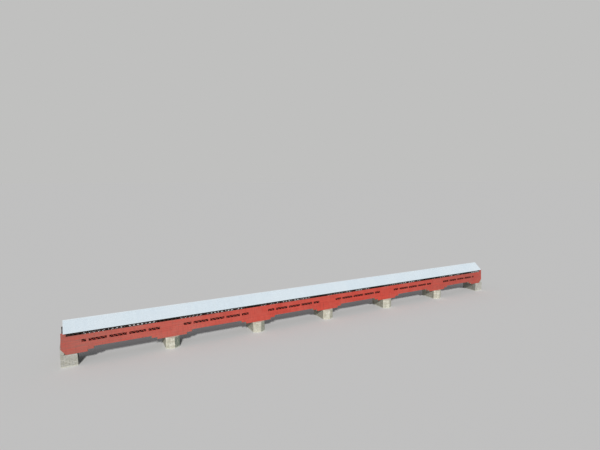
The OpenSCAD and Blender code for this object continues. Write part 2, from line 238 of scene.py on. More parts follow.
patch_group = mask_group("faded_patches", ("Size", "Size", "Size"),
                         detail=6.0, roughness=0.58, low=0.42, high=0.68)
runs_group = mask_group("rain_runs", ("Width", "Width", "Length"),
                        detail=4.0, roughness=0.55, low=0.5, high=0.72)
print("shared effects:", [group.name for group in bpy.data.node_groups])


# %% The aged colour
def mixed(tree, share, first, second):
    """One colour laid over another, by a mask."""
    made = add_node(tree, "ShaderNodeMix", {0: share, 6: first, 7: second}, data_type="RGBA")
    return made.outputs[2]


AGED_INPUTS = {"Fresh": "Color", "Deep": "Color", "Faded": "Color", "Stain": "Color",
               "Tint": "Float", "Patches": "Float", "Runs": "Float"}
aged_group, start, end = new_group("aged_colour", AGED_INPUTS, {"Color": "Color"})
shade = mixed(aged_group, start.outputs["Tint"], start.outputs["Fresh"], start.outputs["Deep"])
shade = mixed(aged_group, start.outputs["Patches"], shade, start.outputs["Faded"])
shade = mixed(aged_group, start.outputs["Runs"], shade, start.outputs["Stain"])
feed(aged_group, end.inputs["Color"], shade)

hollow_group, start, end = new_group("dirty_hollows", {"Shade": "Color", "Relief": "Float",
                                                       "Share": "Float", "Tone": "Color"},
                                     {"Color": "Color"})
dirt = rescaled(hollow_group, start.outputs["Relief"], 0.0, 1.0, start.outputs["Share"], 0.0)
shade = mixed(hollow_group, dirt, start.outputs["Shade"], start.outputs["Tone"])
feed(hollow_group, end.inputs["Color"], shade)
print("aged_colour mixes", len(AGED_INPUTS), "inputs")


# %% Helpers for materials
def use_group(tree, group, **inputs):
    """A shared effect placed in a material."""
    made = tree.nodes.new("ShaderNodeGroup")
    made.node_tree = group
    for label, source in inputs.items():
        feed(tree, made.inputs[label], source)
    return made.outputs[0]


def new_material(name):
    """A material, its node tree, its shader and the object coordinates."""
    material = bpy.data.materials.new(name)
    material.use_nodes = True
    tree = material.node_tree
    shader = tree.nodes["Principled BSDF"]
    place = tree.nodes.new("ShaderNodeTexCoord").outputs["Object"]
    return material, tree, shader, place


def finish_surface(tree, shader, shade, relief, roughness, gloss, depth):
    """Colour, gloss and bump. The roughness is given for the hollows and for the heights."""
    feed(tree, shader.inputs["Base Color"], shade)
    feed(tree, shader.inputs["Roughness"], rescaled(tree, relief, 0.0, 1.0, *roughness))
    shader.inputs["Specular IOR Level"].default_value = gloss
    bump = add_node(tree, "ShaderNodeBump", {"Height": relief, "Distance": depth})
    tree.links.new(bump.outputs["Normal"], shader.inputs["Normal"])


def read_attribute(tree, name):
    """A number that the piece's own faces carry."""
    return add_node(tree, "ShaderNodeAttribute", attribute_name=name).outputs["Fac"]


def read_normal(tree):
    """The way that a face looks."""
    return tree.nodes.new("ShaderNodeTexCoord").outputs["Normal"]


def axes_of(tree, vector):
    """The X, Y and Z of a place or of a normal."""
    return add_node(tree, "ShaderNodeSeparateXYZ", {0: vector}).outputs


def unsigned(tree, value):
    """A value without its sign, so that both sides of the bridge are alike."""
    return add_node(tree, "ShaderNodeMath", {0: value}, operation="ABSOLUTE").outputs[0]


print("groups to place in materials:", len(bpy.data.node_groups))

# %% [markdown]
# ## Paint on the boards
# The walls were painted red long ago. Each board has taken the weather in its own way, so the
# boards carry a number, the tint, that the material reads. Over that lie faded patches, about
# four metres long on the real bridge, and rain runs that stop nowhere near a joint. The red is
# bleached over the first spans and duller at both ends, streak by streak, so three more masks
# fall off along the bridge. The inner faces of the boards were never painted, and their bare
# wood is made dark as painted shade for the inside of the bridge. A face looks inward when its
# normal points to the middle of the bridge, and one dot product with the place tells that.

# %% Red paint
# From x, to x, share at the first, share at the second, and the tone laid on in streaks
PAINT_ZONES = ((-4.9, -2.4, 0.5, 0.0, colour(158, 122, 110)),
               (-7.6, -5.6, 0.6, 0.0, colour(110, 89, 82)),
               (2.8, 6.5, 0.0, 0.6, colour(110, 89, 82)))
BOARD_TINT = 0.48
DIRTY_GRAIN = colour(98, 46, 42)
# Bare wood of the inner faces, dark as painted shade inside the bridge
BARE_WOOD_IN_PAINTED_SHADE = colour(50, 40, 35)
INWARD_BLEND = 0.002


def red_paint(name):
    """Weathered red paint on the outer faces, and bare wood, dark as painted shade, on the faces
    that look inward.
    """
    material, tree, shader, place = new_material(name)
    grain = use_group(tree, grain_group, Vector=place, Length=0.05, Width=0.0016)
    patches = use_group(tree, patch_group, Vector=place, Size=0.42, Amount=0.44)
    runs = use_group(tree, runs_group, Vector=place, Width=0.035, Length=0.3, Amount=0.34)
    tint = product(tree, read_attribute(tree, "tint"), BOARD_TINT)
    shade = use_group(tree, aged_group, Fresh=colour(203, 76, 62), Deep=colour(162, 62, 53),
                      Faded=colour(197, 102, 89), Stain=colour(116, 52, 46),
                      Tint=tint, Patches=patches, Runs=runs)
    streaks = use_group(tree, grain_group, Vector=place, Length=0.5, Width=0.011)
    along = axes_of(tree, place)[0]
    for from_x, to_x, first_share, last_share, tone in PAINT_ZONES:
        reach = rescaled(tree, along, from_x, to_x, first_share, last_share)
        shade = mixed(tree, product(tree, reach, streaks), shade, tone)
    shade = use_group(tree, hollow_group, Shade=shade, Relief=grain, Share=0.16,
                      Tone=DIRTY_GRAIN)
    level = add_node(tree, "ShaderNodeVectorMath", {0: place, 1: (1, 1, 0)},
                     operation="MULTIPLY")
    facing = add_node(tree, "ShaderNodeVectorMath",
                      {0: read_normal(tree), 1: level.outputs[0]}, operation="DOT_PRODUCT")
    inward = rescaled(tree, facing.outputs["Value"], -INWARD_BLEND, 0.0, 1.0, 0.0)
    # The faces that look inward get dark bare wood, partly painted shade
    shade = mixed(tree, inward, shade, BARE_WOOD_IN_PAINTED_SHADE)
    finish_surface(tree, shader, shade, grain, roughness=(0.88, 0.72), gloss=0.25,
                   depth=0.0004)
    return material


board_paint = red_paint("weathered_red_paint")
print("made", board_paint.name)

# %% [markdown]
# ## Timber
# The trusses, bolsters and rafters are bare sawn timber that has gone dark indoors and grey
# where the rain reaches it. Indoors it is darker than the wood alone would be, as painted
# shade for the inside of the bridge. One function makes each kind, and a turn of the
# coordinates lays the grain along the timber. The cut ends are paler, and are found by the
# way they face.

# %% Bare timber
DAMP_WOOD = colour(46, 38, 34)
# How far the normal has to follow the timber for a face to be a cut end, and how pale it gets
END_BEGINS = 0.8
END_IS_FULL = 0.9
END_SHARE = 0.75


def bare_timber(name, turn, fresh, deep, faded, end_axis=None, end_colour=None):
    """Sawn timber with its grain along X after the turn, and other ends where asked for."""
    material, tree, shader, place = new_material(name)
    turned = add_node(tree, "ShaderNodeMapping", {"Vector": place, "Rotation": turn})
    along = turned.outputs[0]
    grain = use_group(tree, grain_group, Vector=along, Length=0.09, Width=0.0024)
    tint = use_group(tree, patch_group, Vector=place, Size=0.16, Amount=1.0)
    patches = use_group(tree, patch_group, Vector=along, Size=0.5, Amount=0.55)
    runs = use_group(tree, runs_group, Vector=place, Width=0.02, Length=0.12, Amount=0.4)
    aged = use_group(tree, aged_group, Fresh=fresh, Deep=deep, Faded=faded,
                     Stain=DAMP_WOOD, Tint=tint, Patches=patches, Runs=runs)
    shade = use_group(tree, hollow_group, Shade=aged, Relief=grain, Share=0.3, Tone=deep)
    if end_axis is not None:
        facing = unsigned(tree, axes_of(tree, read_normal(tree))[end_axis])
        is_end = rescaled(tree, facing, END_BEGINS, END_IS_FULL, 0.0, END_SHARE)
        shade = mixed(tree, is_end, shade, end_colour)
    finish_surface(tree, shader, shade, grain, roughness=(0.92, 0.76), gloss=0.2, depth=0.0006)
    return material


ALONG_X = (0.0, 0.0, 0.0)
ALONG_Y = (0.0, 0.0, math.radians(-90))
ALONG_Z = (0.0, math.radians(90), 0.0)
# Dark indoor wood, darker than the wood alone, as painted shade inside the bridge
DARK_WOOD_WITH_PAINTED_SHADE = (colour(48, 39, 35), colour(31, 26, 23), colour(64, 56, 51))
GREY_WOOD = (colour(132, 110, 92), colour(88, 68, 56), colour(158, 148, 134))
# Road planks, worn, and darkened as painted shade inside the bridge
WORN_WOOD_WITH_PAINTED_SHADE = (colour(84, 74, 66), colour(56, 49, 44), colour(104, 96, 88))
# The bolster ends are pale partly as a painted highlight, where the ends catch the light
PALE_END_AND_HIGHLIGHT = colour(206, 196, 178)
DRY_END = colour(150, 132, 112)

bolster_timber = bare_timber("bolster_timber", ALONG_X, *GREY_WOOD, 0, PALE_END_AND_HIGHLIGHT)
long_timber = bare_timber("long_timber", ALONG_X, *DARK_WOOD_WITH_PAINTED_SHADE, 0, DRY_END)
cross_timber = bare_timber("cross_timber", ALONG_Y, *DARK_WOOD_WITH_PAINTED_SHADE, 1, DRY_END)
upright_timber = bare_timber("upright_timber", ALONG_Z, *DARK_WOOD_WITH_PAINTED_SHADE)
floor_timber = bare_timber("floor_timber", ALONG_Y, *WORN_WOOD_WITH_PAINTED_SHADE)
print("made", len([m for m in bpy.data.materials if m.name.endswith("timber")]), "timbers")

# %% Which timber each kept node has
TIMBERS = {
    "lower_bolsters": bolster_timber, "upper_bolsters": bolster_timber,
    "bottom_chords": long_timber, "top_chords": long_timber, "wall_plates": long_timber,
    "ridge_board": long_timber, "stringers": long_timber,
    "floor_beams": cross_timber, "tie_beams": cross_timber, "rafters": cross_timber,
    "lower_braces": long_timber, "upper_braces": long_timber, "knee_braces": cross_timber,
    "truss_posts": upright_timber, "wall_studs": upright_timber,
}


def repaint(node_name, material):
    """Gives a CAD node a better material, and leaves its mesh as it is."""
    for material_slot in nodes[node_name].material_slots:
        material_slot.material = material


for node_name, material in TIMBERS.items():
    repaint(node_name, material)
print("repainted", len(TIMBERS), "nodes of timber")

# %% [markdown]
# ## Lattice planks
# The web of each truss is two layers of crossed planks. From outside, through the long window
# slots, they are red like the walls, in a darker red that is partly painted shade. From the
# road, and in the gap under the eaves, they are bare dark wood, and in the gap that dark is
# painted shade. The CAD shape is right as it is, so only the material changes: it asks how far
# a point is from the middle of the bridge and how high it is, and paints what lies behind the
# boards.

# %% Lattice material
LATTICE_MIDDLE = (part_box("far_lattice_left")[0].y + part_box("far_lattice_left")[1].y) / 2
LATTICE_LEAN = math.radians(45)
LAYER_BLEND = 0.0005
WALL_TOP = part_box("near_wall_upper")[1].z
# The red stops this far under the wall top; the dark wood above it is painted shade in the gap
RED_STOPS_FOR_PAINTED_SHADE = 0.01
PAINT_BLEND = 0.002


def lattice_finish(name):
    """Darker red, partly painted shade, on the outer planks behind the walls; dark bare wood
    elsewhere, as painted shade in the eave gap.
    """
    material, tree, shader, place = new_material(name)
    parts = axes_of(tree, place)
    outer = rescaled(tree, unsigned(tree, parts[1]), LATTICE_MIDDLE - LAYER_BLEND,
                     LATTICE_MIDDLE + LAYER_BLEND)
    leans = [add_node(tree, "ShaderNodeMapping", {"Vector": place, "Rotation": (0, lean, 0)})
             for lean in (LATTICE_LEAN, -LATTICE_LEAN)]
    grains = [use_group(tree, grain_group, Vector=lean.outputs[0], Length=0.07, Width=0.002)
              for lean in leans]
    grain = add_node(tree, "ShaderNodeMix", {0: outer, 2: grains[0], 3: grains[1]}).outputs[0]
    patches = use_group(tree, patch_group, Vector=place, Size=0.3, Amount=0.5)
    tint = use_group(tree, patch_group, Vector=place, Size=0.05, Amount=0.8)
    runs = use_group(tree, runs_group, Vector=place, Width=0.03, Length=0.12, Amount=0.3)
    # This red is darker than the walls' paint, partly as painted shade in the window slots
    red_darkened_for_shade = use_group(tree, aged_group, Fresh=colour(160, 60, 50), Deep=colour(112, 45, 39),
                        Faded=colour(150, 80, 70), Stain=colour(80, 40, 36),
                        Tint=tint, Patches=patches, Runs=runs)
    bare = use_group(tree, aged_group, Fresh=DARK_WOOD_WITH_PAINTED_SHADE[0], Deep=DARK_WOOD_WITH_PAINTED_SHADE[1],
                     Faded=DARK_WOOD_WITH_PAINTED_SHADE[2], Stain=DAMP_WOOD, Tint=tint, Patches=patches, Runs=runs)
    # Above the wall top the gap under the eaves gets dark wood, as painted shade
    red_below_shaded_gap = rescaled(tree, parts[2], WALL_TOP - RED_STOPS_FOR_PAINTED_SHADE - PAINT_BLEND,
                      WALL_TOP - RED_STOPS_FOR_PAINTED_SHADE, 1.0, 0.0)
    shade = mixed(tree, product(tree, outer, red_below_shaded_gap), bare, red_darkened_for_shade)
    shade = use_group(tree, hollow_group, Shade=shade, Relief=grain, Share=0.2,
                      Tone=colour(58, 40, 36))
    finish_surface(tree, shader, shade, grain, roughness=(0.9, 0.74), gloss=0.2, depth=0.0005)
    return material


lattice_planks = lattice_finish("lattice_planks_finish")
for side in ("near", "far"):
    for part in ("left", "middle", "right"):
        repaint(side + "_lattice_" + part, lattice_planks)
print("the lattice changes colour", round(LATTICE_MIDDLE, 4), "m from the middle")

# %% [markdown]
# ## Reading places from the frame
# The walls, piers and windows stand where the CAD says. A node holds several solids, such as
# the panels between the windows, so a helper finds them: it copies the mesh, merges the loose
# triangles, walks from corner to corner along the edges, and gives each solid's box.

# %% Solids of a node
TOLERANCE = 0.001


def solid_boxes(node_name):
    """The lowest and the highest corner of each solid in a CAD node, from left to right."""
    bm = bmesh.new()
    bm.from_mesh(nodes[node_name].data)
    bmesh.ops.remove_doubles(bm, verts=bm.verts[:], dist=1e-5)
    left = set(bm.verts)
    boxes = []
    while left:
        group = [left.pop()]
        for vert in group:
            for edge in vert.link_edges:
                other = edge.other_vert(vert)
                if other in left:
                    left.discard(other)
                    group.append(other)
        spread = [[vert.co[axis] for vert in group] for axis in range(3)]
        boxes.append((Vector(map(min, spread)), Vector(map(max, spread))))
    bm.free()
    return sorted(boxes, key=lambda box: tuple(box[0]))


stud_boxes = [box for box in solid_boxes("wall_studs") if box[0].y > 0]
stud_xs = sorted({round((low.x + high.x) / 2, 4) for low, high in stud_boxes
                  if low.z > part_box("near_wall_lower")[0].z - TOLERANCE})
print("the walls have", len(stud_xs), "studs to nail boards to")

# %% [markdown]
# ## From bmesh to piece
# Each new piece is drawn in a bmesh, which is a mesh as Blender works on it. When it is done
# it becomes an object at the origin, rides on the bridge, and may stand for a CAD node. A
# board could be drawn corner by corner. Here it is one cube, whose matrix holds its three
# directions and its middle, so a few lines make boards that lie, stand, slope or lap.

# %% Making a piece
def make_piece(name, bm, material, slot_name, *replaced):
    """Turns a bmesh into a piece that rides on the bridge and stands for the CAD nodes."""
    mesh = bpy.data.meshes.new(name)
    bm.to_mesh(mesh)
    bm.free()
    mesh.materials.append(material)
    piece = bpy.data.objects.new(name, mesh)
    scene.collection.objects.link(piece)
    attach(piece, "root")
    if replaced:
        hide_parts(*replaced)
    triangles = sum(len(face.vertices) - 2 for face in mesh.polygons)
    print(name, "has", triangles, "triangles")


# %% Picking and joining parts of a bmesh
def whole(bm):
    """All that a bmesh holds, as its operators take it."""
    return bm.verts[:] + bm.edges[:] + bm.faces[:]


def only(kind, parts):
    """The corners, the edges or the faces among what an operator gives back."""
    return [part for part in parts if isinstance(part, kind)]


def touching(verts):
    """Corners with all the edges and faces that meet there."""
    return list(dict.fromkeys(part for vert in verts
                              for part in (vert, *vert.link_edges, *vert.link_faces)))


def pour_into(bm, other):
    """Adds all that another bmesh holds, by way of a mesh, and frees that bmesh."""
    spare = bpy.data.meshes.new("spare")
    other.to_mesh(spare)
    other.free()
    bm.from_mesh(spare)
    bpy.data.meshes.remove(spare)


print("helpers for corners, edges and faces are ready")

# %% Boards
UP = Vector((0, 0, 1))


def add_board(bm, centre, out, upward, length, height, thickness, lean=0.0, tint=0.5):
    """One board. Its broad face looks out, and its foot stands out by lean past its head."""
    along = out.cross(upward)
    columns = (along * length, out * thickness, upward * height - out * lean, centre)
    matrix = Matrix([list(column) + [0] for column in columns]).transposed()
    matrix[3][3] = 1
    board = bmesh.ops.create_cube(bm, size=1.0, matrix=matrix)["verts"]
    for face in {face for vert in board for face in vert.link_faces}:
        face[bm.faces.layers.float["tint"]] = tint


def new_boards():
    """An empty bmesh whose faces can carry a tint."""
    bm = bmesh.new()
    bm.faces.layers.float.new("tint")
    return bm


def cut_off(bm, point, beyond, parts):
    """Cuts away what lies past a plane, and closes the ends of what is left."""
    cut = bmesh.ops.bisect_plane(bm, geom=parts, dist=1e-6, plane_co=point, plane_no=beyond,
                                 clear_outer=True)
    bmesh.ops.holes_fill(bm, edges=only(bmesh.types.BMEdge, cut["geom_cut"]), sides=0)


print("helpers for boards are ready")

# %% [markdown]
# ## Pegs of the lattice
# Two wooden pegs hold the planks together at each crossing, 46 mm thick on the real bridge.
# That makes some four thousand, and as many operator calls would be slow, because each call
# walks over all that the mesh holds. So a row of crossings starts as one pair of pegs, and then
# each copy doubles what is there. The pegs take the finish of the planks they are driven into.

# %% Rows of pegs
PEG_RADIUS = 0.0023
PEG_PROUD = 0.0008
PEG_SPREAD = 0.006
PEG_SIDES = 8
# A plank runs over four bays from chord to chord, and the bays are those of the CAD lattice
PLANK_RUN = 4
LATTICE_BAYS = 144
TRUSS_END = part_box("bottom_chords")[1].x


def repeat_in_row(bm, first_x, count, step):
    """Repeats what stands at one place along X, by doubling the row again and again."""
    done = 1
    while done < count:
        taken = min(done, count - done)
        limit = first_x + (taken - 0.5) * step
        parts = touching([vert for vert in bm.verts if vert.co.x < limit])
        copied = bmesh.ops.duplicate(bm, geom=parts)["geom"]
        bmesh.ops.translate(bm, verts=only(bmesh.types.BMVert, copied), vec=(done * step, 0, 0))
        done += taken


across = Matrix.Rotation(math.radians(90), 4, "X")
bay = 2 * TRUSS_END / LATTICE_BAYS
for side in ("near", "far"):
    web_low, web_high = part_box(side + "_lattice_middle")
    middle = (web_low + web_high) / 2
    peg_length = web_high.y - web_low.y + 2 * PEG_PROUD
    bm = bmesh.new()
    for row in range(1 - PLANK_RUN, PLANK_RUN):
        line = bmesh.new()
        first_x = (abs(row) + 1) / 2 * bay - TRUSS_END
        z = middle.z + row * (web_high.z - web_low.z) / 2 / PLANK_RUN
        for shift in (-PEG_SPREAD, PEG_SPREAD):
            place = Matrix.Translation((first_x + shift, middle.y, z))
            bmesh.ops.create_cone(line, cap_ends=True, segments=PEG_SIDES, radius1=PEG_RADIUS,
                                  radius2=PEG_RADIUS, depth=peg_length, matrix=place @ across)
        repeat_in_row(line, first_x, LATTICE_BAYS - abs(row), bay)
        pour_into(bm, line)
    make_piece(side + "_lattice_pegs", bm, lattice_planks, "lattice_planks")

# %% [markdown]
# ## Wall boards
# The siding is horizontal boards about 18 cm high on the real bridge, each lapped over the one
# below, so that rain runs off. It could be one sheet with a bump pattern, but then the walls
# would be flat from close by and in the exported mesh. Each board is a thin cube, sheared so
# that its foot stands out over the head of the next one down. The joints between boards fall
# on the studs, and move by a stud from row to row.

# %% Rows of lapped boards
BOARD_THICKNESS = 0.00115
BOARD_LAP = 0.003
JOINT_GAP = 0.0005
SHORTEST_BOARD = 0.06
UNEVEN = 0.0001
SIDING_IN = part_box("far_wall_upper")[0].y
SIDING_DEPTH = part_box("far_wall_upper")[1].y - SIDING_IN
draw = random.Random(11)


def joints_between(start, end, row):
    """Where the boards of a row meet: on every second stud, and not close to an end."""
    inner = [x for x in stud_xs[row % 2::2]
             if start + SHORTEST_BOARD < x < end - SHORTEST_BOARD]
    return [start, *inner, end]


def lapped_rows(bm, out, inner_face, z_low, z_high, rows, joints_of_row):
    """Rows of lapped boards on an upright wall, from its foot to its head."""
    run = Vector((abs(out.y), abs(out.x), 0))
    exposure = (z_high - z_low) / rows
    for row in range(rows):
        height = exposure + (BOARD_LAP if row < rows - 1 else 0)
        lean = BOARD_THICKNESS * height / exposure
        depth = inner_face + SIDING_DEPTH - BOARD_THICKNESS / 2 - lean / 2
        joints = joints_of_row(row)
        for start, end in zip(joints, joints[1:]):
            slack = draw.uniform(-UNEVEN, 0.0)
            middle = (out * (depth + slack) + run * (start + end) / 2
                      + UP * (z_low + row * exposure + height / 2))
            add_board(bm, middle, out, UP, end - start - JOINT_GAP, height,
                      BOARD_THICKNESS, lean, draw.random())


print("the siding is", round(SIDING_DEPTH * 1000, 2), "mm deep, from",
      round(SIDING_IN, 4), "m out")

# %% The sloping ends of the walls
APRON_END = 7.545
WIDEST_UP = 0.04
wall_low, wall_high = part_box("near_wall_lower")
# Each corner as its height, and its distance from the middle of the bridge
WING_CORNERS = [(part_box("near_wall_apron_feet")[0].z, APRON_END),
                (wall_low.z + WIDEST_UP, wall_high.x),
                (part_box("near_wall_upper")[1].z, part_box("eave_end_panels")[1].x)]


def cut_wings(bm):
    """Trims the board ends to the sloping outline, at both ends of the bridge."""
    for (z0, x0), (z1, x1) in zip(WING_CORNERS, WING_CORNERS[1:]):
        for end in (1, -1):
            beyond = Vector((z1 - z0, 0, x0 - x1)).normalized()
            beyond.x *= end
            cut_off(bm, Vector((end * x0, 0, z0)), beyond, whole(bm))


print("the walls reach", round(wall_high.x, 3), "m at their widest")

# %% Boards of both walls
BAND_ROWS = {"wall_lower": 9, "wall_upper": 7, "wall_window_panels": 4,
             "wall_aprons": 3, "wall_apron_feet": 3}
SIDES = {"near": Vector((0, -1, 0)), "far": Vector((0, 1, 0))}

for side, out in SIDES.items():
    for band, rows in BAND_ROWS.items():
        node_name = side + "_" + band
        bm = new_boards()
        for low, high in solid_boxes(node_name):
            lapped_rows(bm, out, SIDING_IN, low.z, high.z, rows,
                        lambda row: joints_between(low.x, high.x, row))
        cut_wings(bm)
        make_piece(node_name + "_boards", bm, board_paint, "red_siding", node_name)

# %% [markdown]
# ## Boards of the ends
# The same boards close the corners under the eaves, the strips beside each portal and the
# gables. These ends are hidden in the photograph, so they repeat the walls plainly. A gable is
# filled with full rows first. Then planes cut it to the roof slopes, and to the slanting
# corners of the opening.

# %% Corners under the eaves and portal strips
CORNER_ROWS = 5
CORNER_CLEARANCE = 0.002
JAMB_ROWS = 20
END_SIDES = {"left": Vector((-1, 0, 0)), "right": Vector((1, 0, 0))}

bm = new_boards()
for low, high in solid_boxes("eave_end_panels"):
    out = SIDES["far"] if low.y > 0 else SIDES["near"]
    lapped_rows(bm, out, SIDING_IN, low.z, high.z - CORNER_CLEARANCE, CORNER_ROWS,
                lambda row: [low.x, high.x])
make_piece("eave_end_boards", bm, board_paint, "red_siding", "eave_end_panels")

bm = new_boards()
for low, high in solid_boxes("portal_jambs"):
    out = END_SIDES["right"] if low.x > 0 else END_SIDES["left"]
    inner_face = min(abs(low.x), abs(high.x))
    lapped_rows(bm, out, inner_face, low.z, high.z, JAMB_ROWS, lambda row: [low.y, high.y])
make_piece("portal_jamb_boards", bm, board_paint, "red_siding", "portal_jambs")

# %% Gables
ROOF_PITCH = math.radians(39.2)
JAMB_WIDTH = 0.0445
HEADROOM = 0.326
OPENING_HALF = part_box("portal_jambs")[1].y - JAMB_WIDTH
OPENING_CUT = 0.052
OPENING_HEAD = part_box("floor_planks")[1].z + HEADROOM
SHOULDER_ROWS = 3
GABLE_ROWS = 16
GABLE_JOINTS = (0.12, -0.09)
gable_low, gable_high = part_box("gables")

bm = new_boards()
for out in END_SIDES.values():
    shoulders = new_boards()
    for start, end in ((gable_low.y, OPENING_CUT - OPENING_HALF),
                       (OPENING_HALF - OPENING_CUT, gable_high.y)):
        lapped_rows(shoulders, out, TRUSS_END, gable_low.z, OPENING_HEAD, SHOULDER_ROWS,
                    lambda row: [start, end])
    # The slanting cut is made one side at a time, so each side is its own half of the mesh
    for side in (1, -1):
        beyond = Vector((0, -side, -1)).normalized()
        corner = Vector((0, side * OPENING_HALF, gable_low.z))
        half = [vert for vert in shoulders.verts if vert.co.y * side > 0]
        cut_off(shoulders, corner, beyond, touching(half))
    pour_into(bm, shoulders)
    lapped_rows(bm, out, TRUSS_END, OPENING_HEAD, gable_high.z, GABLE_ROWS,
                lambda row: [gable_low.y, GABLE_JOINTS[row % 2], gable_high.y])
for side in (1, -1):
    roof_side = Vector((0, side * math.sin(ROOF_PITCH), math.cos(ROOF_PITCH)))
    cut_off(bm, Vector((0, 0, gable_high.z)), roof_side, whole(bm))
make_piece("gable_boards", bm, board_paint, "red_siding", "gables")

# %% [markdown]
# ## Roof boards
# Under the metal lie rough boards, nailed across the rafters with gaps between them. They are
# seen from below, at the eaves and from the road. The same board helper makes them: out is now
# the direction that the slope faces, and upward is the way up the slope.

# %% Roof boards
ROOF_LOW, ROOF_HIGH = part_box("near_roof")
ROOF_END = ROOF_HIGH.x
SLOPE_LENGTH = -ROOF_LOW.y / math.cos(ROOF_PITCH)
ROOF_THICKNESS = 0.004
ROOF_BOARD = 0.0018
ROOF_ROWS = 16
ROOF_BOARD_GAP = 0.003
BELOW_RIDGE = 0.004
SHORT_OF_EAVE = 0.002
SHORT_OF_VERGE = 0.001
rafter_xs = sorted({round((low.x + high.x) / 2, 4) for low, high in solid_boxes("rafters")})

roof_board_wood = bare_timber("roof_board_wood", ALONG_X, colour(84, 69, 57),
                              colour(56, 46, 39), colour(104, 92, 80))


def slope_point(side, down, above):
    """A point on a roof slope: so far down it, and so far above or under its top face."""
    facing = Vector((0, side * math.sin(ROOF_PITCH), math.cos(ROOF_PITCH)))
    fall = Vector((0, side * math.cos(ROOF_PITCH), -math.sin(ROOF_PITCH)))
    return Vector((0, 0, ROOF_HIGH.z)) + fall * down + facing * above, fall, facing


for side_name, side in (("near", -1), ("far", 1)):
    bm = new_boards()
    step = (SLOPE_LENGTH - BELOW_RIDGE - SHORT_OF_EAVE) / ROOF_ROWS
    for row in range(ROOF_ROWS):
        place, fall, facing = slope_point(side, BELOW_RIDGE + step * (row + 0.5),
                                          ROOF_BOARD / 2 - ROOF_THICKNESS)
        joints = [-ROOF_END + SHORT_OF_VERGE, *rafter_xs[1 + row % 4:-1:4],
                  ROOF_END - SHORT_OF_VERGE]
        for start, end in zip(joints, joints[1:]):
            place.x = (start + end) / 2
            add_board(bm, place, facing, -fall, end - start - JOINT_GAP,
                      step - ROOF_BOARD_GAP, ROOF_BOARD, 0.0, draw.random())
    make_piece(side_name + "_roof_boards", bm, roof_board_wood, "floor_boards",
               side_name + "_roof")

# %% [markdown]
# ## Roof sheets
# The covering is painted steel in sheets of about a metre, with a low rib every 23 cm. One
# sheet starts as a line of a few points across the ribs. The line is extruded down the slope,
# and the sheet is extruded again by its own thickness. Copies of it, each with its own tint,
# then march along the roof.

# %% Roof metal
SHEET_TINT = 0.6


def painted_metal(name, fresh, deep, faded, stain):
    """Pale paint on steel, chalky with age, with faint runs down the slope."""
    material, tree, shader, place = new_material(name)
    dust = use_group(tree, grain_group, Vector=place, Length=0.01, Width=0.008)
    patches = use_group(tree, patch_group, Vector=place, Size=0.9, Amount=0.55)
    runs = use_group(tree, runs_group, Vector=place, Width=0.03, Length=0.5, Amount=0.22)
    tint = product(tree, read_attribute(tree, "tint"), SHEET_TINT)
    shade = use_group(tree, aged_group, Fresh=fresh, Deep=deep, Faded=faded, Stain=stain,
                      Tint=tint, Patches=patches, Runs=runs)
    finish_surface(tree, shader, shade, dust, roughness=(0.48, 0.68), gloss=0.35,
                   depth=0.00012)
    return material


roof_paint = painted_metal("roof_sheet_paint", colour(206, 217, 223), colour(200, 212, 220),
                           colour(211, 219, 224), colour(184, 195, 202))
ridge_paint = painted_metal("ridge_cap_paint", colour(210, 219, 224), colour(202, 213, 219),
                            colour(214, 221, 225), colour(181, 191, 198))
print("made", roof_paint.name, "and", ridge_paint.name)

# %% Roof sheets
SHEETS = 166
RIBS_A_SHEET = 4
RIB_PITCH = 2 * ROOF_END / SHEETS / RIBS_A_SHEET
RIB_HEIGHT = 0.0016
SHEET_THICKNESS = 0.0004
SHEET_HEAD = 0.002
SHEET_FOOT = 0.001
# Share of a rib's pitch, and share of its height, across one rib
RIB_POINTS = ((0.0, 0), (0.40, 0), (0.46, 1), (0.54, 1), (0.60, 0))


def one_sheet(bm, side, start):
    """The points across a sheet, extruded down the slope and then into its thickness."""
    top, fall, facing = slope_point(side, SHEET_HEAD, -RIB_HEIGHT)
    across = [(rib + share, height) for rib in range(RIBS_A_SHEET)
              for share, height in RIB_POINTS] + [(RIBS_A_SHEET, 0)]
    line = []
    for share, height in across:
        place = top + facing * (height * RIB_HEIGHT)
        place.x = start + share * RIB_PITCH
        line.append(bm.verts.new(place))
    edges = [bm.edges.new(pair) for pair in zip(line, line[1:])]
    slope = bmesh.ops.extrude_edge_only(bm, edges=edges)["geom"]
    bmesh.ops.translate(bm, verts=only(bmesh.types.BMVert, slope),
                        vec=fall * (SLOPE_LENGTH - SHEET_HEAD - SHEET_FOOT))
    skin = only(bmesh.types.BMFace, slope)
    below = bmesh.ops.extrude_face_region(bm, geom=skin)["geom"]
    bmesh.ops.translate(bm, verts=only(bmesh.types.BMVert, below),
                        vec=-facing * SHEET_THICKNESS)


for side_name, side in (("near", -1), ("far", 1)):
    bm = new_boards()
    tint_layer = bm.faces.layers.float["tint"]
    one_sheet(bm, side, -ROOF_END)
    first = whole(bm)
    for sheet in range(SHEETS):
        copied = first
        if sheet:
            copied = bmesh.ops.duplicate(bm, geom=first)["geom"]
            forward = Vector((sheet * RIB_PITCH * RIBS_A_SHEET, 0, 0))
            bmesh.ops.translate(bm, verts=only(bmesh.types.BMVert, copied), vec=forward)
        tint = draw.random()
        for face in only(bmesh.types.BMFace, copied):
            face[tint_layer] = tint
    bmesh.ops.recalc_face_normals(bm, faces=bm.faces[:])
    make_piece(side_name + "_roof_sheets", bm, roof_paint, "roof_metal", side_name + "_roof")

# %% [markdown]
# ## Ridge cap and verge trims
# A folded strip covers the ridge in lengths of about three metres, each lapped over the next.
# Each length is a bent profile of six points, filled and extruded along the ridge. The same
# idea closes the ends of the sheets over the portals.

